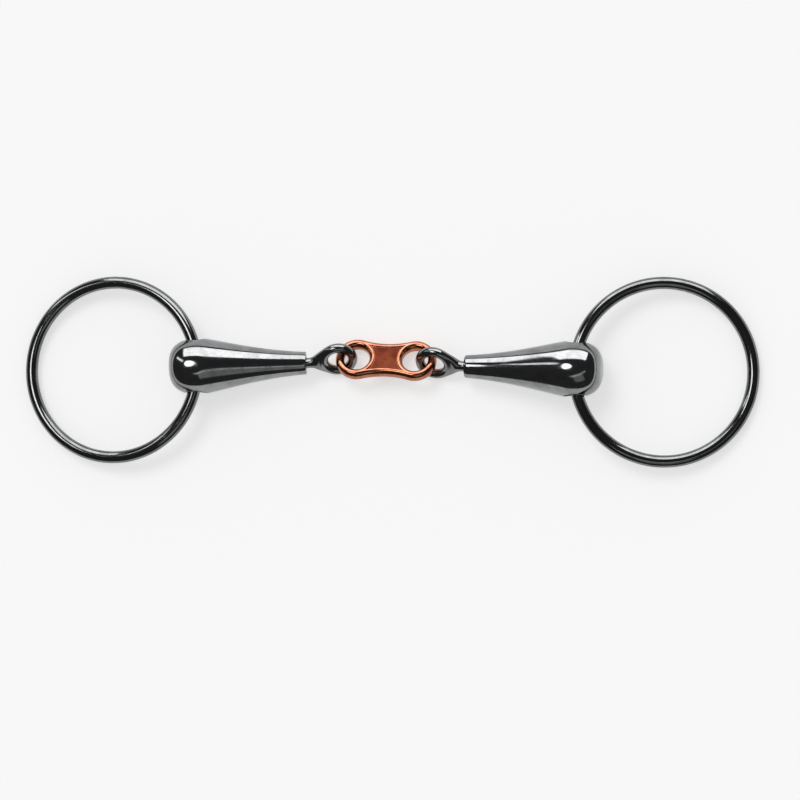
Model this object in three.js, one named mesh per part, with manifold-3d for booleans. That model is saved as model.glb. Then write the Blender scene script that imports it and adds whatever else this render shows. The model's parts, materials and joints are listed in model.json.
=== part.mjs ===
// Double-jointed loose-ring snaffle bit with a hollow steel mouthpiece and a copper centre link.
// Millimetres, +Z up. The bit lies flat, as on a table, with the mouthpiece along X.
import * as THREE from "three";
import { mergeVertices } from "three/addons/utils/BufferGeometryUtils.js";
import Module from "manifold-3d";

const wasm = await Module();
wasm.setup();

// ---------- driving dimensions ----------

// Loose rings
const RING_OUTER_DIAMETER = 70;
const RING_WIRE = 4.6;

// Mouthpiece: width between the near edges of the two ring holes
const MOUTH_WIDTH = 135;

// Liner tube of a ring hole
const LINER_BORE = 7;
const LINER_WALL = 0.8;
const LINER_LENGTH = 19;

// Hollow cannon, from its domed outer end to its square-cut small end
const CANNON_LENGTH = 51;
const CANNON_DIAMETER = 20.9;
const CANNON_SMALL_DIAMETER = 8.4;
const CANNON_WALL = 1.1;
const DOME_LENGTH = 11.5;
const DOME_POWERS = { along: 2.5, across: 3 }; // of the dome's superellipse: higher is blunter
const FLARE_SHOULDER = 0.12; // share of the flare that pulls it out level with the thick end
const FLARE_WAIST = { at: 0.5, over: 1.15 }; // share of the flare, and radius over the small end's
const SOCKET_SHOULDER = 1; // length over which the stem's socket opens into the hollow
const HOLE_FROM_OUTER_END = 9.7;

// Eye: the forged loop on a stem at the small end of a cannon
const EYE_BORE = 7.2;
const EYE_BAR = 3.6;
const EYE_SEAT = 2.8; // from the centre of the link's end bar to the loop's far inner wall
const EYE_ROLL = 44; // degrees that the loop's plane is set round the cannon's axis
const EYE_LEAN = 6; // degrees that the loop is bent sideways
const STEM_DIAMETER = 3.8;
const STEM_OFFSET = 1.2; // sideways, from the middle of the loop
const STEM_FLARE_DIAMETER = 5; // where the loop's two sides run into the stem
const STEM_FLARE_LENGTH = 3.2;
const STEM_INSERTED = 10;

// Centre link, shaped like a dog bone
const LINK_HOLE = 9.4;
const LINK_HOLE_SPACING = 21.7;
const LINK_END_DIAMETER = 15.8;
const LINK_WAIST = 12.8;
const LINK_THICKNESS = 4.6;
const LINK_EDGE_FLAT = 0.6; // height of the straight band between the rounded edges
const LINK_EDGE_ROUND = 1.5;
const WEB_BORDER = 1.9; // width of the rim left proud round the recessed web
const WEB_RECESS = 0.5;

// How the bit lies
const LINK_ROLL = 26; // degrees, front edge up
const ARM_YAW = { left: 3.6, right: 0 }; // degrees that each side trails towards the front
const ARM_SLIDE = { left: 0.1, right: -0.3 }; // along the end bar, towards the back
const FIT_GAP = 0.3; // between pieces that touch

// ---------- derived sizes ----------

const ringWireRadius = RING_WIRE / 2;
const ringMeanRadius = (RING_OUTER_DIAMETER - RING_WIRE) / 2;
const linerRadius = LINER_BORE / 2 + LINER_WALL;
// The wire is curved, so it is centred in the straight bore by half its rise over the bore's half length.
const wireRise = (LINER_LENGTH / 2) ** 2 / (2 * ringMeanRadius);
const ringCentreFromHole = ringMeanRadius - wireRise / 2;

const cannonRadius = CANNON_DIAMETER / 2;
const smallEndRadius = CANNON_SMALL_DIAMETER / 2;
const socketRadius = STEM_DIAMETER / 2 + FIT_GAP;

const endBarX = LINK_HOLE_SPACING / 2 + (LINK_HOLE + LINK_END_DIAMETER) / 4;
const holeX = (MOUTH_WIDTH + LINER_BORE) / 2;
const armReach = holeX - endBarX; // end bar centre to ring hole
const cannonFaceX = armReach + HOLE_FROM_OUTER_END - CANNON_LENGTH;
const eyeBarRadius = EYE_BAR / 2;
const eyeMeanRadius = (EYE_BORE + EYE_BAR) / 2;
const eyeCentreX = EYE_BORE / 2 - EYE_SEAT;

const rad = THREE.MathUtils.degToRad;
const endBarHeight = eyeMeanRadius * Math.cos(rad(EYE_ROLL)) + eyeBarRadius;
const thickestX = cannonFaceX + CANNON_LENGTH - DOME_LENGTH;
const armPitch = Math.asin((cannonRadius - endBarHeight) / thickestX);
const holeHeight = endBarHeight + armReach * Math.sin(armPitch);
const ringDip = Math.asin((holeHeight - ringWireRadius) / (ringCentreFromHole + ringMeanRadius));

// ---------- materials ----------

const darkSteel = new THREE.MeshStandardMaterial({ color: 0x77797c, roughness: 0.12, metalness: 1 });
const linerSteel = new THREE.MeshStandardMaterial({ color: 0x6c6e71, roughness: 0.3, metalness: 1 });
const copper = new THREE.MeshStandardMaterial({ color: 0xb5643f, roughness: 0.18, metalness: 1 });

// ---------- helpers ----------

// A closed geometry as a solid that can be joined and cut.
function toSolid(geometry) {
  const bare = geometry.clone();
  bare.deleteAttribute("normal");
  bare.deleteAttribute("uv");
  const merged = mergeVertices(bare, 1e-4);
  return new wasm.Manifold(
    new wasm.Mesh({
      numProp: 3,
      vertProperties: merged.attributes.position.array,
      triVerts: new Uint32Array(merged.index.array),
    }),
  );
}

function toGeometry(solid) {
  const mesh = solid.getMesh();
  const geometry = new THREE.BufferGeometry();
  geometry.setAttribute("position", new THREE.BufferAttribute(mesh.vertProperties, 3));
  geometry.setIndex(new THREE.BufferAttribute(mesh.triVerts, 1));
  geometry.computeVertexNormals();
  return geometry;
}

// Points on an arc, both ends included.
function arc(centreX, centreY, radius, from, to, steps) {
  return Array.from({ length: steps + 1 }, (_, i) => {
    const angle = from + ((to - from) * i) / steps;
    return new THREE.Vector2(centreX + radius * Math.cos(angle), centreY + radius * Math.sin(angle));
  });
}

// A profile of (radius, distance) points turned round the X axis, distance running along +X.
function turned(profile, segments) {
  return new THREE.LatheGeometry(profile, segments).rotateZ(-Math.PI / 2);
}

// A hoop with a round section lying in the XY plane, with one flat of the section facing its centre
// and one facet square to each of X and Y.
function hoop(meanRadius, barRadius, segments, sides) {
  const flat = Math.PI / sides;
  const section = arc(meanRadius, 0, barRadius, flat, flat + 2 * Math.PI, sides);
  section[sides].copy(section[0]);
  return new THREE.LatheGeometry(section, segments, Math.PI / segments).rotateX(Math.PI / 2);
}

// ---------- pieces ----------

function makeRing() {
  return hoop(ringMeanRadius, ringWireRadius, 72, 12);
}

// Straight tube along Y that lines the ring hole.
function makeLiner() {
  const half = LINER_LENGTH / 2;
  const profile = [
    new THREE.Vector2(LINER_BORE / 2, -half),
    new THREE.Vector2(linerRadius, -half),
    new THREE.Vector2(linerRadius, half),
    new THREE.Vector2(LINER_BORE / 2, half),
    new THREE.Vector2(LINER_BORE / 2, -half),
  ];
  return new THREE.LatheGeometry(profile, 28);
}

// Half outline of a cannon, from the axis at the dome to the small end: a blunt superellipse dome,
// then one long flare. The inset gives the same outline a wall's thickness further in.
function cannonOutline(inset, domeSteps, flareSteps) {
  const outerEnd = cannonFaceX + CANNON_LENGTH - inset;
  const shoulder = cannonFaceX + CANNON_LENGTH - DOME_LENGTH;
  const radius = cannonRadius - inset;
  const dome = Array.from({ length: domeSteps }, (_, i) => {
    const along = (i / domeSteps) ** 2;
    const height = (1 - (1 - along) ** DOME_POWERS.along) ** (1 / DOME_POWERS.across);
    return new THREE.Vector2(radius * height, outerEnd - along * (outerEnd - shoulder));
  });
  const flareLength = shoulder - cannonFaceX;
  const flare = new THREE.CubicBezierCurve(
    new THREE.Vector2(radius, shoulder),
    new THREE.Vector2(radius, shoulder - FLARE_SHOULDER * flareLength),
    new THREE.Vector2(smallEndRadius + FLARE_WAIST.over - inset, shoulder - FLARE_WAIST.at * flareLength),
    new THREE.Vector2(smallEndRadius - inset, cannonFaceX),
  );
  return [...dome, ...flare.getPoints(flareSteps)];
}

// Hollow shell, open through a socket at its small end and cut across by the ring hole.
function makeCannon() {
  const outside = cannonOutline(0, 9, 11);
  const socketEnd = cannonFaceX + STEM_INSERTED;
  const inside = cannonOutline(CANNON_WALL, 7, 9).filter((point) => point.y > socketEnd + SOCKET_SHOULDER);
  const profile = [
    ...outside,
    new THREE.Vector2(socketRadius, cannonFaceX),
    new THREE.Vector2(socketRadius, socketEnd),
    ...inside.reverse(),
  ].reverse();
  const shell = toSolid(turned(profile, 32));
  const across = new THREE.CylinderGeometry(
    linerRadius + FIT_GAP,
    linerRadius + FIT_GAP,
    2 * CANNON_DIAMETER,
    28,
  ).translate(armReach, 0, 0);
  return toGeometry(shell.subtract(toSolid(across)));
}

// Loop round the link's end bar, on a stem that is held in the cannon's socket.
// The side turns the loop's lean and roll the same way round on both cannons.
function makeEye(side) {
  const loop = hoop(eyeMeanRadius, eyeBarRadius, 32, 12)
    .rotateX(Math.PI / 2)
    .translate(eyeCentreX, 0, 0)
    .rotateX(-side * rad(EYE_ROLL))
    .rotateZ(-side * rad(EYE_LEAN));
  const root = eyeCentreX + eyeMeanRadius;
  const stemRadius = STEM_DIAMETER / 2;
  const sunk = eyeBarRadius / 2;
  const stem = turned(
    [
      new THREE.Vector2(0, root - sunk),
      new THREE.Vector2(eyeBarRadius, root - sunk),
      new THREE.Vector2(STEM_FLARE_DIAMETER / 2, root + sunk),
      new THREE.Vector2(stemRadius, root + STEM_FLARE_LENGTH),
      new THREE.Vector2(stemRadius, cannonFaceX + STEM_INSERTED),
      new THREE.Vector2(0, cannonFaceX + STEM_INSERTED),
    ],
    20,
  ).translate(0, -side * STEM_OFFSET, 0);
  return toGeometry(toSolid(loop).add(toSolid(stem)));
}

// Dog-bone plate with rounded edges, an eye hole at each end and a recessed web on both faces.
function makeLink() {
  const holeCentre = LINK_HOLE_SPACING / 2;
  const holeRadius = LINK_HOLE / 2;
  const endRadius = LINK_END_DIAMETER / 2;
  const halfWaist = LINK_WAIST / 2;

  // Each waist arc is tangent to both end circles, and its centre lies out on the Y axis.
  const slack = endRadius - halfWaist;
  const waistCentre = (holeCentre ** 2 - slack ** 2) / (2 * slack);
  const waistRadius = waistCentre - halfWaist;
  const tilt = Math.atan2(waistCentre, holeCentre);
  const sweep = Math.PI - tilt;
  const outline = new THREE.Shape([
    ...arc(holeCentre, 0, endRadius, -sweep, sweep, 18),
    ...arc(0, waistCentre, waistRadius, -tilt, tilt - Math.PI, 6).slice(1, -1),
    ...arc(-holeCentre, 0, endRadius, Math.PI - sweep, Math.PI + sweep, 18),
    ...arc(0, -waistCentre, waistRadius, Math.PI - tilt, tilt, 6).slice(1, -1),
  ]);
  for (const x of [-holeCentre, holeCentre]) {
    outline.holes.push(new THREE.Path(arc(x, 0, holeRadius, 0, -2 * Math.PI, 24).slice(0, -1)));
  }
  const plate = new THREE.ExtrudeGeometry(outline, {
    depth: LINK_EDGE_FLAT,
    bevelThickness: (LINK_THICKNESS - LINK_EDGE_FLAT) / 2,
    bevelSize: LINK_EDGE_ROUND,
    bevelOffset: -LINK_EDGE_ROUND,
    bevelSegments: 4,
  }).translate(0, 0, -LINK_EDGE_FLAT / 2);

  // The web's outline keeps the border's width off the holes and off the waist, in four arcs.
  const sideRadius = holeRadius + WEB_BORDER;
  const edgeRadius = waistRadius + WEB_BORDER;
  const apart = Math.hypot(holeCentre, waistCentre);
  const along = (apart ** 2 + sideRadius ** 2 - edgeRadius ** 2) / (2 * apart);
  const sideHalf = Math.PI - (sweep + Math.acos(along / sideRadius));
  const edgeHalf = Math.PI / 2 - tilt - Math.acos((apart - along) / edgeRadius);
  const web = new THREE.Shape([
    ...arc(holeCentre, 0, sideRadius, Math.PI + sideHalf, Math.PI - sideHalf, 10),
    ...arc(0, waistCentre, edgeRadius, edgeHalf - Math.PI / 2, -edgeHalf - Math.PI / 2, 5).slice(1, -1),
    ...arc(-holeCentre, 0, sideRadius, sideHalf, -sideHalf, 10),
    ...arc(0, -waistCentre, edgeRadius, Math.PI / 2 + edgeHalf, Math.PI / 2 - edgeHalf, 5).slice(1, -1),
  ]);
  const recess = new THREE.ExtrudeGeometry(web, { depth: LINK_THICKNESS, bevelEnabled: false });
  const floor = LINK_THICKNESS / 2 - WEB_RECESS;
  const link = toSolid(plate)
    .subtract(toSolid(recess.clone().translate(0, 0, floor)))
    .subtract(toSolid(recess.translate(0, 0, -floor - LINK_THICKNESS)));
  return toGeometry(link);
}

// ---------- assembly ----------

function named(name, geometry, material) {
  const mesh = new THREE.Mesh(geometry, material);
  mesh.name = name;
  return mesh;
}

// One half of the bit, drawn outwards along its own +X from the middle of the link's end bar.
function makeArm(label, side) {
  const arm = new THREE.Group();
  arm.position.set(side * endBarX, ARM_SLIDE[label], endBarHeight);
  arm.rotation.z = (side > 0 ? 0 : Math.PI) - side * rad(ARM_YAW[label]);

  const mouthpiece = new THREE.Group();
  mouthpiece.rotation.y = -armPitch;
  arm.add(mouthpiece);
  mouthpiece.add(named(`eye_${label}`, makeEye(side), darkSteel));

  const barrel = new THREE.Group();
  barrel.position.y = -side * STEM_OFFSET;
  barrel.add(named(`cannon_${label}`, makeCannon(), darkSteel));
  mouthpiece.add(barrel);

  const swing = new THREE.Group();
  swing.position.x = armReach;
  swing.rotation.y = armPitch + ringDip;
  swing.add(named(`ring_liner_${label}`, makeLiner(), linerSteel));
  const ring = named(`ring_${label}`, makeRing(), darkSteel);
  ring.position.x = ringCentreFromHole;
  swing.add(ring);
  barrel.add(swing);
  return arm;
}

const link = named("centre_link", makeLink(), copper);
link.position.z = endBarHeight;
link.rotation.x = -rad(LINK_ROLL);

const bit = new THREE.Group();
bit.add(link, makeArm("left", -1), makeArm("right", 1));

// The bit stands on Z = 0, with the middle of its box on the Z axis.
const box = new THREE.Box3().setFromObject(bit, true);
const middle = box.getCenter(new THREE.Vector3());
bit.position.set(-middle.x, -middle.y, -box.min.z);

export default bit;
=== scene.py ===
import json
import math

import bpy
from mathutils import Matrix, Vector


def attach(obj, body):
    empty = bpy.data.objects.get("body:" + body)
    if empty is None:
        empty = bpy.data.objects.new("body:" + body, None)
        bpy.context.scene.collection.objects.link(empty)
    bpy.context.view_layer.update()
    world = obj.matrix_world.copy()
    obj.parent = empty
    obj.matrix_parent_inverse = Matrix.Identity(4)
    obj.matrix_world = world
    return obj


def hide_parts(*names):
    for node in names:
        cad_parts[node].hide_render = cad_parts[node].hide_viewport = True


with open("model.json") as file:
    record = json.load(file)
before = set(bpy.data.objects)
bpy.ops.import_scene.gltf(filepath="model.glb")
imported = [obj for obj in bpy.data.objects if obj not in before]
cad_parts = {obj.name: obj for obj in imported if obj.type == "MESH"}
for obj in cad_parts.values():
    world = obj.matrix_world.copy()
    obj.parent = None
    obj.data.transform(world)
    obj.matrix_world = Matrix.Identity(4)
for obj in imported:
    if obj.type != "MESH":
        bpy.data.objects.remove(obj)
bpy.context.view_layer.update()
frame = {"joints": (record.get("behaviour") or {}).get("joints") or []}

# A loose-ring snaffle bit: two hollow steel cannons on a copper dog-bone link, lying on a pale table.
# Each piece is modelled in millimetres round its own middle, then brought to its place in metres.

MM = 0.001
SIDES = {"left": -1, "right": 1}  # which way each side points along X
UP = Vector((0, 0, 1))

# ---------- sizes of the bit, in millimetres ----------

RING_MEAN_RADIUS = 32.58
RING_WIRE_RADIUS = 2.28
RING_WIRE_SIDES = 40
RING_STEPS = 180
WELD_SHAPE = {-2: 1.004, -1: 1.01, 0: 0.98, 1: 1.01, 2: 1.004}  # the wire's size, by steps from the weld
WELD_ANGLE = {"left": 88, "right": 78}  # degrees round the ring, from +X

REACH = 53.85  # from the link's end bar to the ring hole
CANNON_FACE = 12.55  # from the end bar to the small end
CANNON_END = 63.55
CANNON_RADIUS = 10.43
SMALL_END_RADIUS = 4.2
SMALL_END_EDGE = 0.3
SMALL_END_RISE = 0.02  # the flare's rise over the length of that edge
CANNON_WALL = 1.1
DOME_LENGTH = 11.5
DOME_POWERS = (2.5, 3)  # along and across: higher is blunter
FLARE_SHOULDER = 0.12  # share of the flare that pulls it out level with the thick end
FLARE_WAIST_AT = 0.5  # share of the flare, from the thick end, where its hollow is deepest
FLARE_WAIST_OVER = 1.15  # how much that hollow stays over the small end's radius
STEM_RADIUS = 1.9
STEM_INSERTED = 10
STEM_END = CANNON_FACE + STEM_INSERTED
SOCKET_SHOULDER = 1  # length over which the socket opens into the hollow
STEM_GAP = 0.3
SOCKET_RADIUS = STEM_RADIUS + STEM_GAP
RING_HOLE_RADIUS = 4.6
HOLE_LIP = 0.2  # radius of the bead round the ring hole
HOLE_LIP_SUNK = 0.16  # how far its middle lies under the skin
HOLE_LIP_POINTS = 72
CANNON_STEPS = 112
OUTSIDE_POINTS = (26, 44)  # on the dome and on the flare
INSIDE_POINTS = (12, 20)

LINER_BORE_RADIUS = 3.5
LINER_RADIUS = 4.3
LINER_HALF = 9.5
LINER_EDGE = 0.2
LINER_STEPS = 72

EYE_MEAN_RADIUS = 5.4
EYE_BAR_RADIUS = 1.8
EYE_CENTRE = 0.8  # from the end bar
EYE_ROLL = 44  # degrees round the cannon's axis
EYE_LEAN = 6  # degrees sideways
STEM_OFFSET = 1.2  # sideways, from the middle of the loop
SHOULDERS = [(8.7, 3.5, 2.1), (10.1, 2.0, 1.95)]  # (along, half width, half thickness)
RIM_HIGH, RIM_WIDE = 0.5, 1.5  # how far from the middle a point of the first end's rim is
NECK = [(11.6, 1.85), (13, 1.85), (17, 1.85), (22.2, 1.85), (22.5, 1.75)]  # (along, radius)

LINK_HOLE_RADIUS = 4.7
LINK_HOLE_FROM_MIDDLE = 10.85
LINK_END_RADIUS = 7.9
LINK_HALF_WAIST = 6.4
LINK_THICKNESS = 4.6
LINK_EDGE_ROUND = 1.5  # across the plate
LINK_EDGE_DEPTH = 2.0  # through its thickness
WEB_BORDER = 1.9
WEB_RECESS = 0.5
WEB_EDGE = 0.2
END_STEPS = 44
WAIST_STEPS = 18
WEB_END_STEPS = 20
WEB_WAIST_STEPS = 12

CLOSE = 0.01  # points nearer than this lie together

# ---------- sizes of the finish, in millimetres ----------

LINE_SPACING = 0.4
LINE_DEPTH = 0.02
PATCH_WIDTH = 5
WAVE_LENGTH = 6
WAVE_DEPTH = 0.4

# ---------- strengths of the light ----------

TABLE_GLOW = 0.50
ROOM_ON_TABLE = 0.36
ROOM_IN_METAL = 0.05
SUN_STRENGTH = 0.5
SUN_WIDTH = 28  # degrees: wide, for a soft edge to the shadows


# ---------- where the pieces go ----------

joints = {joint["name"]: joint for joint in frame["joints"]}


def joint_place(name):
    return Vector(joints[name]["pos_m"])


def joint_axis(name):
    return Vector(joints[name]["axis"]).normalized()


def frame_at(origin, x, y):
    """The placing matrix of a piece whose own X and Y point along x and y."""
    turned = Matrix((x, y, x.cross(y))).transposed().to_4x4()
    return Matrix.Translation(origin) @ turned @ Matrix.Scale(MM, 4)


def barrel_frame(side):
    """A cannon's own frame: X runs outwards along it from level with the link's end bar."""
    hole = joint_place(f"ring_swing_{side}")
    swing = joint_axis(f"ring_swing_{side}")
    level = swing.cross(UP)
    level *= SIDES[side] * math.copysign(1, level.x)
    pitch = math.asin((hole.z - joint_place(f"fold_{side}").z) / (REACH * MM))
    outward = level * math.cos(pitch) + UP * math.sin(pitch)
    return frame_at(hole - outward * REACH * MM, outward, UP.cross(level))


def ring_frame(side):
    normal = joint_axis(f"ring_spin_{side}")
    x = Vector((0, 1, 0)).cross(normal).normalized()
    return frame_at(joint_place(f"ring_spin_{side}"), x, normal.cross(x))


def liner_frame(side):
    swing = joint_axis(f"ring_swing_{side}")
    return frame_at(joint_place(f"ring_swing_{side}"), swing, UP)


def link_frame():
    middle = (joint_place("fold_left") + joint_place("fold_right")) / 2
    return frame_at(middle, Vector((1, 0, 0)), joint_axis("fold_left"))


# ---------- the camera and the light ----------

camera = bpy.data.objects.new("camera", bpy.data.cameras.new("camera"))
bpy.context.scene.collection.objects.link(camera)
camera.location = (0.184, -0.063, 1.261)
camera.rotation_euler = [math.radians(degrees) for degrees in (2.66, 8.0, 2.06)]
camera.data.lens = 155.0
camera.data.clip_start = 0.05
camera.data.clip_end = 50
bpy.context.scene.camera = camera
bpy.context.scene.view_settings.view_transform = "Standard"


def panel(name, place, size, radiance, aim=(0, 0, 0), shape="RECTANGLE"):
    """A soft glowing panel, in metres, turned to its aim. It shows in the metal and lights nothing else."""
    lamp = bpy.data.lights.new(name, "AREA")
    lamp.shape = shape
    lamp.size, lamp.size_y = size
    lamp.energy = radiance * math.pi * size[0] * size[1]
    lamp.use_shadow = False
    light = bpy.data.objects.new(name, lamp)
    bpy.context.scene.collection.objects.link(light)
    light.location = place
    light.rotation_euler = (Vector(place) - Vector(aim)).to_track_quat("Z", "Y").to_euler()
    light.visible_camera = False
    light.visible_diffuse = False


panel("back_wall", (0.0, 1.15, 0.66), (1.7, 1.0), 3.3)
panel("overhead", (-0.38, 0.16, 1.2), (0.50, 0.50), 3.8, shape="ELLIPSE")
panel("left_slot", (-1.0, 0.5, 0.8), (0.16, 0.8), 2.6)
panel("front_slot", (0.25, -0.40, 0.92), (0.9, 0.12), 0.6)
panel("front_card", (0.24, -0.62, 0.74), (0.5, 0.5), 0.3)

sun = bpy.data.objects.new("key", bpy.data.lights.new("key", "SUN"))
bpy.context.scene.collection.objects.link(sun)
sun.data.energy = SUN_STRENGTH
sun.data.angle = math.radians(SUN_WIDTH)
sun.rotation_euler = Vector((-0.35, 0.55, 1)).to_track_quat("Z", "Y").to_euler()
sun.visible_glossy = False


# ---------- materials ----------

def linear(hex_colour):
    """A colour from its sRGB hex value, as the linear values that a shader takes."""
    channels = [int(hex_colour[i:i + 2], 16) / 255 for i in (1, 3, 5)]
    return [c / 12.92 if c <= 0.04045 else ((c + 0.055) / 1.055) ** 2.4 for c in channels] + [1]


def add_node(tree, kind, inputs=None, **settings):
    """Adds a shader node with its settings. An input is a value, or another node's output to link."""
    made = tree.nodes.new("ShaderNode" + kind)
    for name, value in settings.items():
        setattr(made, name, value)
    for name, value in (inputs or {}).items():
        if isinstance(value, bpy.types.NodeSocket):
            tree.links.new(value, made.inputs[name])
        else:
            made.inputs[name].default_value = value
    return made


def new_material(name):
    material = bpy.data.materials.new(name)
    material.use_nodes = True
    return material, material.node_tree, material.node_tree.nodes["Principled BSDF"]


def polished_metal(name, colour, deep_colour, roughness, rough_patches, line_stretch, hand_waviness):
    """Metal that was ground, then buffed to a mirror by hand.

    The buffing leaves fine lines along the work, drawn as coarse as they need to be to show, hazier
    patches, and a surface that is not quite true, so long highlights waver a little at their edges.
    """
    material, tree, shader = new_material(name)
    place = add_node(tree, "TexCoord").outputs["Object"]
    along = add_node(tree, "Mapping", {"Vector": place, "Scale": line_stretch}).outputs["Vector"]
    lines = add_node(tree, "TexNoise", {
        "Vector": along, "Scale": 1 / (LINE_SPACING * MM), "Detail": 3.0, "Roughness": 0.6})
    patches = add_node(tree, "TexNoise", {
        "Vector": place, "Scale": 1 / (PATCH_WIDTH * MM), "Detail": 4.0, "Roughness": 0.6})
    waves = add_node(tree, "TexNoise", {
        "Vector": along, "Scale": 1 / (WAVE_LENGTH * MM), "Detail": 1.0, "Roughness": 0.4})
    haze = add_node(tree, "MapRange", {
        "Value": patches.outputs["Fac"], "From Min": 0.42, "From Max": 0.72,
        "To Min": 0.0, "To Max": 1.0}).outputs["Result"]
    line_haze = add_node(tree, "MapRange", {
        "Value": lines.outputs["Fac"], "From Min": 0.35, "From Max": 0.75,
        "To Min": 0.0, "To Max": 0.5}).outputs["Result"]
    both = add_node(tree, "Math", {0: haze, 1: line_haze}, operation="ADD").outputs["Value"]
    rough = add_node(tree, "MapRange", {
        "Value": both, "From Min": 0.0, "From Max": 1.5,
        "To Min": roughness, "To Max": rough_patches}).outputs["Result"]
    tint = add_node(tree, "Mix", {
        "Factor": both, 6: linear(colour), 7: linear(deep_colour)},
        data_type="RGBA").outputs[2]
    wavy = add_node(tree, "Bump", {
        "Height": waves.outputs["Fac"], "Strength": hand_waviness, "Distance": WAVE_DEPTH * MM})
    buffed = add_node(tree, "Bump", {
        "Height": lines.outputs["Fac"], "Strength": 0.06, "Distance": LINE_DEPTH * MM,
        "Normal": wavy.outputs["Normal"]})
    shader.inputs["Metallic"].default_value = 1.0
    tree.links.new(tint, shader.inputs["Base Color"])
    tree.links.new(rough, shader.inputs["Roughness"])
    tree.links.new(buffed.outputs["Normal"], shader.inputs["Normal"])
    return material


# Blackened stainless steel, mirror polished: a dark mirror with wavering white streaks.
cannon_steel = polished_metal("polished_black_steel", "#949596", "#7e7f80", 0.07, 0.19, (0.04, 1, 1), 0.12)
# The same steel forged and drawn, then tumbled bright: a little hazier, with no one direction.
forged_steel = polished_metal("tumbled_black_steel", "#8a8b8c", "#747576", 0.08, 0.22, (1, 1, 1), 0.10)
# Cold-drawn steel wire, buffed: darker still, with thin bright lines along the hoop.
wire_steel = polished_metal("buffed_steel_wire", "#7f8081", "#68696a", 0.07, 0.20, (1, 1, 1), 0.08)
# Cast copper, buffed: warm orange red, with white where it mirrors a light.
copper = polished_metal("buffed_copper", "#b87d62", "#985840", 0.09, 0.22, (0.25, 1, 1), 0.12)
# The copper on the sunk web: rougher, and redder and much darker, the darkness painted shade for the recess.
web_copper_painted_shade = polished_metal("recess_copper_painted_shade", "#5e2d1e", "#4b2115", 0.30, 0.45, (0.25, 1, 1), 0.25)
# Drawn tube, as it came off the die: grey, with lines along it.
liner_steel = polished_metal("drawn_tube_steel", "#7c7e81", "#66686b", 0.25, 0.42, (1, 0.05, 1), 0.05)


# ---------- making and finishing pieces ----------

def deselect():
    bpy.ops.object.select_all(action="DESELECT")


def only(piece):
    deselect()
    piece.select_set(True)
    bpy.context.view_layer.objects.active = piece


def edit(piece, mode="VERT"):
    only(piece)
    bpy.ops.object.mode_set(mode="EDIT")
    bpy.ops.mesh.select_mode(type=mode)


def done():
    bpy.ops.object.mode_set(mode="OBJECT")


def pick_points(piece, test):
    """In edit mode, selects the points whose place passes the test."""
    bpy.ops.mesh.select_mode(type="VERT")
    bpy.ops.mesh.select_all(action="DESELECT")
    done()
    for vertex in piece.data.vertices:
        vertex.select = test(vertex.co)
    bpy.ops.object.mode_set(mode="EDIT")


def pick_faces(piece, test):
    """In edit mode, selects the faces whose centre passes the test."""
    bpy.ops.mesh.select_mode(type="FACE")
    bpy.ops.mesh.select_all(action="DESELECT")
    done()
    for face in piece.data.polygons:
        face.select = test(face.center)
    bpy.ops.object.mode_set(mode="EDIT")


def draw_line(name, points):
    """A line of edges drawn point by point, from a starter plane that is merged to one corner."""
    deselect()
    bpy.ops.mesh.primitive_plane_add(size=1)
    piece = bpy.context.object
    piece.name = piece.data.name = name
    edit(piece)
    bpy.ops.mesh.select_all(action="SELECT")
    bpy.ops.mesh.merge(type="CENTER")
    points = [Vector(point) for point in points]
    bpy.ops.transform.translate(value=points[0])
    for here, there in zip(points, points[1:]):
        bpy.ops.mesh.extrude_region_move(TRANSFORM_OT_translate={"value": there - here})
    return piece


def weld_up():
    """Merges doubles and turns every face outwards, in edit mode."""
    bpy.ops.mesh.select_all(action="SELECT")
    bpy.ops.mesh.remove_doubles(threshold=0.002)
    bpy.ops.mesh.normals_make_consistent(inside=False)


def turn(name, profile, steps):
    """A piece turned on a lathe: a closed profile of (along X, radius) spun round the X axis."""
    piece = draw_line(name, [(along, radius, 0) for along, radius in profile])
    bpy.ops.mesh.select_all(action="SELECT")
    bpy.ops.mesh.spin(steps=steps, angle=2 * math.pi, center=(0, 0, 0), axis=(1, 0, 0))
    weld_up()
    done()
    return piece


def plate(name, outline, thickness, bottom):
    """A flat plate cut to an outline of (x, y) points, standing on the height of its bottom face."""
    piece = draw_line(name, [(x, y, bottom) for x, y in outline])
    weld_up()
    bpy.ops.mesh.edge_face_add()
    bpy.ops.mesh.extrude_region_move(TRANSFORM_OT_translate={"value": (0, 0, thickness)})
    weld_up()
    done()
    return piece


def cut(piece, *cutters):
    for cutter in cutters:
        modifier = piece.modifiers.new("cut", "BOOLEAN")
        modifier.object = cutter
        modifier.operation = "DIFFERENCE"
        modifier.solver = "EXACT"
        only(piece)
        bpy.ops.object.modifier_apply(modifier=modifier.name)
        bpy.data.objects.remove(cutter)


def bar_cutter(radius, length, place, turn_to=(0, 0, 0)):
    deselect()
    bpy.ops.mesh.primitive_cylinder_add(
        vertices=96, radius=radius, depth=length, location=place, rotation=turn_to)
    bpy.ops.object.transform_apply(location=True, rotation=True, scale=True)
    return bpy.context.object


def put(piece, matrix):
    """Brings a piece from its own frame to its place, and writes the place into its mesh."""
    only(piece)
    piece.matrix_world = matrix
    bpy.ops.object.transform_apply(location=True, rotation=True, scale=True)


def finish(piece, materials, body, node=None, crease=30, weigh=False):
    """Shades a piece, gives it its material, and says which body it rides and which CAD node it shows."""
    only(piece)
    bpy.ops.object.shade_smooth_by_angle(angle=math.radians(crease))
    if weigh:
        modifier = piece.modifiers.new("flat_faces_first", "WEIGHTED_NORMAL")
        modifier.keep_sharp = True
        bpy.ops.object.modifier_apply(modifier=modifier.name)
    if not piece.data.materials:
        for material in materials:
            piece.data.materials.append(material)
    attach(piece, body)
    if node:
        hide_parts(node)


# ---------- the rings ----------

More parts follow.
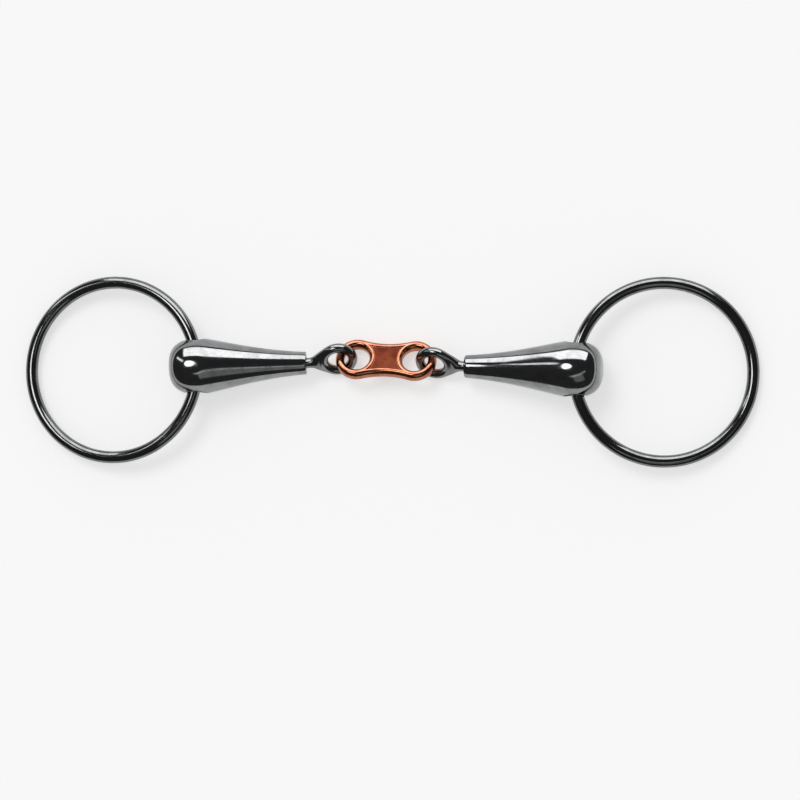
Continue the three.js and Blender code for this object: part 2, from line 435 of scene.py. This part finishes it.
def make_ring(side):
    """A hoop bent from round wire, its butt weld ground nearly flush."""
    name = f"loose_ring_{side}"
    deselect()
    bpy.ops.mesh.primitive_circle_add(vertices=RING_WIRE_SIDES, radius=RING_WIRE_RADIUS, fill_type="NOTHING")
    piece = bpy.context.object
    piece.name = piece.data.name = name
    edit(piece)
    bpy.ops.mesh.select_all(action="SELECT")
    bpy.ops.transform.rotate(value=math.pi / 2, orient_axis="X", center_override=(0, 0, 0))
    bpy.ops.transform.translate(value=(RING_MEAN_RADIUS, 0, 0))
    bpy.ops.mesh.spin(steps=RING_STEPS, angle=2 * math.pi, center=(0, 0, 0), axis=(0, 0, 1))
    weld_up()
    step = 2 * math.pi / RING_STEPS
    for offset, swell in WELD_SHAPE.items():
        angle = offset * step
        middle = Vector((math.cos(angle), math.sin(angle), 0)) * RING_MEAN_RADIUS
        across = Vector((-math.sin(angle), math.cos(angle), 0))
        pick_points(piece, lambda co: abs((co - middle).dot(across)) < 0.1 and co.dot(middle) > 0)
        bpy.ops.transform.resize(value=(swell, swell, swell), center_override=middle)
    done()
    put(piece, ring_frame(side) @ Matrix.Rotation(math.radians(WELD_ANGLE[side]), 4, "Z"))
    finish(piece, [wire_steel], f"ring_{side}", f"ring_{side}")


# ---------- the cannons and their liners ----------

def cannon_outline(inset, dome_points, flare_points):
    """Half outline from the dome's tip to the small end, as (along, radius), a wall's inset inside."""
    shoulder = CANNON_END - DOME_LENGTH
    tip = CANNON_END - inset
    radius = CANNON_RADIUS - inset
    outline = []
    for i in range(dome_points):
        along = (i / dome_points) ** 2
        height = (1 - (1 - along) ** DOME_POWERS[0]) ** (1 / DOME_POWERS[1])
        outline.append((tip - along * (tip - shoulder), radius * height))
    length = shoulder - CANNON_FACE
    knots = [
        (shoulder, radius),
        (shoulder - FLARE_SHOULDER * length, radius),
        (shoulder - FLARE_WAIST_AT * length, SMALL_END_RADIUS + FLARE_WAIST_OVER - inset),
        (CANNON_FACE, SMALL_END_RADIUS - inset),
    ]
    for i in range(flare_points + 1):
        t = i / flare_points
        weights = ((1 - t) ** 3, 3 * t * (1 - t) ** 2, 3 * t * t * (1 - t), t ** 3)
        outline.append(tuple(sum(w * knot[k] for w, knot in zip(weights, knots)) for k in (0, 1)))
    return outline


def radius_at(outline, along):
    """The outline's radius at a distance along the cannon."""
    for (x0, r0), (x1, r1) in zip(outline, outline[1:]):
        if x1 <= along <= x0:
            return r0 + (r1 - r0) * (along - x0) / (x1 - x0)
    return 0


def make_cannon(side):
    """A hollow cannon, spun from tube, open at its socket and cut across by the ring hole."""
    outside = cannon_outline(0, *OUTSIDE_POINTS)
    inside = [p for p in cannon_outline(CANNON_WALL, *INSIDE_POINTS) if p[0] > STEM_END + SOCKET_SHOULDER]
    edge = SMALL_END_EDGE
    profile = outside[:-1] + [
        (CANNON_FACE + edge, SMALL_END_RADIUS + SMALL_END_RISE),
        (CANNON_FACE + 0.3 * edge, SMALL_END_RADIUS - 0.3 * edge),
        (CANNON_FACE, SMALL_END_RADIUS - edge),
        (CANNON_FACE, SOCKET_RADIUS + edge),
        (CANNON_FACE + edge, SOCKET_RADIUS),
        (STEM_END, SOCKET_RADIUS),
    ] + inside[::-1]
    cannon = turn(f"hollow_cannon_{side}", profile, CANNON_STEPS)
    cut(cannon, bar_cutter(RING_HOLE_RADIUS, 3 * CANNON_RADIUS, (REACH, 0, 0), (math.pi / 2, 0, 0)))
    put(cannon, barrel_frame(side))
    finish(cannon, [cannon_steel], f"arm_{side}", f"cannon_{side}")

    # The bead where the hole's edge was rolled over the liner, along both mouths.
    lips = []
    for back in (-1, 1):
        rim = []
        for i in range(HOLE_LIP_POINTS + 1):
            angle = 2 * math.pi * i / HOLE_LIP_POINTS
            x = REACH + RING_HOLE_RADIUS * math.cos(angle)
            z = RING_HOLE_RADIUS * math.sin(angle)
            y = math.sqrt(radius_at(outside, x) ** 2 - z * z) - HOLE_LIP_SUNK
            rim.append((x, back * y, z))
        lip = draw_line(f"ring_hole_lip_{side}", rim)
        weld_up()
        done()
        bpy.ops.object.convert(target="CURVE")
        lip.data.bevel_depth = HOLE_LIP
        lip.data.bevel_resolution = 3
        bpy.ops.object.convert(target="MESH")
        lips.append(lip)
    only(lips[0])
    lips[1].select_set(True)
    bpy.ops.object.join()
    lip = lips[0]
    lip.name = lip.data.name = f"ring_hole_lip_{side}"
    put(lip, barrel_frame(side))
    finish(lip, [forged_steel], f"arm_{side}")


def make_liner(side):
    """The tube that lines a ring hole, its ends eased so that the wire runs freely."""
    half, edge = LINER_HALF, LINER_EDGE
    bore, outside = LINER_BORE_RADIUS, LINER_RADIUS
    liner = turn(f"ring_hole_liner_{side}", [
        (0, bore), (half - 2 * edge, bore), (half - 0.5 * edge, bore + 0.5 * edge), (half, bore + 2 * edge),
        (half, outside - edge), (half - edge, outside), (0, outside), (edge - half, outside),
        (-half, outside - edge), (-half, bore + 2 * edge), (0.5 * edge - half, bore + 0.5 * edge),
        (2 * edge - half, bore), (0, bore)], LINER_STEPS)
    put(liner, liner_frame(side))
    finish(liner, [liner_steel], f"liner_{side}", f"ring_liner_{side}")


# ---------- the eyes ----------

# A cage of 8, 12 or 16 sides rounds off by these factors when it is subdivided.
ROUND_8 = 2 / 3 + math.cos(2 * math.pi / 8) / 3
ROUND_12 = 2 / 3 + math.cos(2 * math.pi / 12) / 3
ROUND_16 = 2 / 3 + math.cos(2 * math.pi / 16) / 3


def make_eye(side):
    """A loop forged on the end of a stem: its sides run together into the neck without a seam."""
    hand = SIDES[side]
    bar = EYE_BAR_RADIUS / ROUND_8
    mean = EYE_MEAN_RADIUS / ROUND_16
    deselect()
    bpy.ops.mesh.primitive_circle_add(vertices=8, radius=bar, fill_type="NOTHING")
    eye = bpy.context.object
    eye.name = eye.data.name = f"forged_eye_{side}"
    edit(eye)
    bpy.ops.mesh.select_all(action="SELECT")
    bpy.ops.transform.translate(value=(mean, 0, 0))
    bpy.ops.mesh.spin(steps=16, angle=2 * math.pi, center=(0, 0, 0), axis=(0, 1, 0))
    weld_up()
    bpy.ops.transform.translate(value=(EYE_CENTRE, 0, 0))

    # The shoulders run in from an eighth of the loop on either side, and are drawn down to a round neck.
    pick_faces(eye, lambda centre: (
        math.hypot(centre.x - EYE_CENTRE, centre.z) > mean + 0.6 * bar
        and abs(centre.z) < centre.x - EYE_CENTRE))
    last = EYE_CENTRE + mean + bar
    for along, half_width, half_thickness in SHOULDERS:
        bpy.ops.mesh.extrude_region_move(TRANSFORM_OT_translate={"value": (along - last, 0, 0)})
        bpy.ops.transform.resize(value=(0, 1, 1), center_override=(along, 0, 0))
        if along == SHOULDERS[0][0]:
            # The first end is long and angular. It is drawn in, and the points of its rim are rounded up.
            bpy.ops.transform.resize(value=(1, 1, 0.4), center_override=(along, 0, 0))
            pick_points(eye, lambda co: (
                abs(co.x - along) < CLOSE and (abs(co.y) > RIM_HIGH or abs(co.z) > RIM_WIDE)))
            bpy.ops.transform.tosphere(value=1)
            pick_faces(eye, lambda centre: abs(centre.x - along) < CLOSE)
        done()
        new = [v.co for v in eye.data.vertices if v.select]
        share_y = half_thickness / ROUND_12 / max(abs(co.y) for co in new)
        share_z = half_width / ROUND_12 / max(abs(co.z) for co in new)
        bpy.ops.object.mode_set(mode="EDIT")
        bpy.ops.transform.resize(value=(1, share_y, share_z), center_override=(along, 0, 0))
        last = along
    done()
    only(eye)
    eye.matrix_world = (
        Matrix.Rotation(-hand * math.radians(EYE_LEAN), 4, "Z")
        @ Matrix.Rotation(-hand * math.radians(EYE_ROLL), 4, "X"))
    bpy.ops.object.transform_apply(location=True, rotation=True, scale=True)

    # From there it is drawn along the cannon's own axis, a little to one side of the loop.
    bpy.ops.object.mode_set(mode="EDIT")
    before = SHOULDERS[-1][1]
    for along, radius in NECK:
        done()
        tip = [v.co for v in eye.data.vertices if v.select]
        middle = sum(tip, Vector()) / len(tip)
        bpy.ops.object.mode_set(mode="EDIT")
        goal = Vector((along, -hand * STEM_OFFSET, 0))
        bpy.ops.mesh.extrude_region_move(TRANSFORM_OT_translate={"value": goal - middle})
        bpy.ops.transform.resize(value=(0, 1, 1), center_override=goal)
        share = radius / before
        bpy.ops.transform.resize(value=(1, share, share), center_override=goal)
        before = radius
    bpy.ops.mesh.select_all(action="SELECT")
    bpy.ops.mesh.normals_make_consistent(inside=False)
    done()
    only(eye)
    modifier = eye.modifiers.new("round_off", "SUBSURF")
    modifier.levels = modifier.render_levels = 4
    bpy.ops.object.modifier_apply(modifier=modifier.name)
    arm = barrel_frame(side) @ Matrix.Translation((0, hand * STEM_OFFSET, 0))
    put(eye, arm)
    finish(eye, [forged_steel], f"arm_{side}", f"eye_{side}", crease=60)


# ---------- the centre link ----------

def arc(centre, radius, start, end, steps):
    """Points round part of a circle, both ends in."""
    return [
        (centre[0] + radius * math.cos(start + (end - start) * i / steps),
         centre[1] + radius * math.sin(start + (end - start) * i / steps))
        for i in range(steps + 1)]


def make_link():
    """A cast copper dog-bone: two holes, rounded edges, and a web a little sunk on both faces."""
    hole, end = LINK_HOLE_FROM_MIDDLE, LINK_END_RADIUS
    slack = end - LINK_HALF_WAIST
    waist_centre = (hole ** 2 - slack ** 2) / (2 * slack)
    waist_radius = waist_centre - LINK_HALF_WAIST
    tilt = math.atan2(waist_centre, hole)
    sweep = math.pi - tilt
    outline = (
        arc((hole, 0), end, -sweep, sweep, END_STEPS)
        + arc((0, waist_centre), waist_radius, -tilt, tilt - math.pi, WAIST_STEPS)[1:-1]
        + arc((-hole, 0), end, math.pi - sweep, math.pi + sweep, END_STEPS)
        + arc((0, -waist_centre), waist_radius, math.pi - tilt, tilt, WAIST_STEPS)[1:])

    # Cut thinner than it ends up, so that the round on its edges comes out deeper than wide.
    deepen = LINK_EDGE_DEPTH / LINK_EDGE_ROUND
    thin = LINK_THICKNESS / deepen
    link = plate("dog_bone_link", outline, thin, -thin / 2)
    cut(link, *(bar_cutter(LINK_HOLE_RADIUS, 2 * thin, (x, 0, 0)) for x in (-hole, hole)))
    edit(link, "EDGE")
    bpy.ops.mesh.select_all(action="DESELECT")
    bpy.ops.mesh.edges_select_sharp(sharpness=math.radians(60))
    bpy.ops.mesh.bevel(offset=LINK_EDGE_ROUND, segments=8, profile=0.5, affect="EDGES")
    bpy.ops.mesh.select_all(action="SELECT")
    bpy.ops.transform.resize(value=(1, 1, deepen), center_override=(0, 0, 0))
    done()

    # The web keeps the border's width off the holes and off the waist.
    side_radius = LINK_HOLE_RADIUS + WEB_BORDER
    edge_radius = waist_radius + WEB_BORDER
    apart = math.hypot(hole, waist_centre)
    along = (apart ** 2 + side_radius ** 2 - edge_radius ** 2) / (2 * apart)
    side_half = math.pi - (sweep + math.acos(along / side_radius))
    quarter = math.pi / 2
    edge_half = quarter - tilt - math.acos((apart - along) / edge_radius)
    web = (
        arc((hole, 0), side_radius, math.pi + side_half, math.pi - side_half, WEB_END_STEPS)
        + arc((0, waist_centre), edge_radius, edge_half - quarter, -edge_half - quarter,
              WEB_WAIST_STEPS)[1:-1]
        + arc((-hole, 0), side_radius, side_half, -side_half, WEB_END_STEPS)
        + arc((0, -waist_centre), edge_radius, quarter + edge_half, quarter - edge_half, WEB_WAIST_STEPS)[1:])
    floor = LINK_THICKNESS / 2 - WEB_RECESS
    cut(link,
        plate("web_cutter_top", web, LINK_THICKNESS, floor),
        plate("web_cutter_bottom", web, LINK_THICKNESS, -floor - LINK_THICKNESS))
    edit(link, "EDGE")
    bpy.ops.mesh.select_all(action="DESELECT")
    bpy.ops.mesh.edges_select_sharp(sharpness=math.radians(50))
    bpy.ops.mesh.bevel(offset=WEB_EDGE, segments=4, profile=0.5, affect="EDGES")
    done()

    link.data.materials.clear()
    link.data.materials.append(copper)
    link.data.materials.append(web_copper_painted_shade)
    # The web's floor faces take the darker copper, which paints the recess's shade; all other faces take the
    # bright copper.
    for face in link.data.polygons:
        face.material_index = int(abs(abs(face.center.z) - floor) < 0.02 and abs(face.normal.z) > 0.99)
    put(link, link_frame())
    finish(link, [], "link", "centre_link", crease=40, weigh=True)


make_link()
for side in SIDES:
    make_ring(side)
    make_cannon(side)
    make_liner(side)
    make_eye(side)


# ---------- the table and the room ----------

deselect()
bpy.ops.mesh.primitive_plane_add(size=8, location=(0, 0, 0))
table = bpy.context.object
table.name = "table"
sheet, sheet_tree, sheet_shader = new_material("matt_white_laminate")
sheet_shader.inputs["Base Color"].default_value = linear("#f2f2f2")
sheet_shader.inputs["Roughness"].default_value = 0.9
sheet_shader.inputs["Specular IOR Level"].default_value = 0.0
# It glows a little, as a light table does, so that shadows on it stay pale.
sheet_shader.inputs["Emission Color"].default_value = linear("#ffffff")
sheet_shader.inputs["Emission Strength"].default_value = TABLE_GLOW
table.data.materials.append(sheet)

# The room is white to light the table, and dim where it shows in the metal, as with black screens hung
# above a tabletop; what the lens sees past the table is pale.
world = bpy.data.worlds.new("studio")
bpy.context.scene.world = world
world.use_nodes = True
room = world.node_tree
room.nodes.clear()
ray = add_node(room, "LightPath")
dim = add_node(room, "Background", {"Color": linear("#ffffff"), "Strength": ROOM_IN_METAL})
fill = add_node(room, "Background", {"Color": linear("#ffffff"), "Strength": ROOM_ON_TABLE})
past = add_node(room, "Background", {"Color": linear("#f8f8f8"), "Strength": 1.0})
on_things = add_node(room, "MixShader", {
    "Fac": ray.outputs["Is Glossy Ray"], 1: fill.outputs[0], 2: dim.outputs[0]})
everywhere = add_node(room, "MixShader", {
    "Fac": ray.outputs["Is Camera Ray"], 1: on_things.outputs[0], 2: past.outputs[0]})
add_node(room, "OutputWorld", {"Surface": everywhere.outputs[0]})
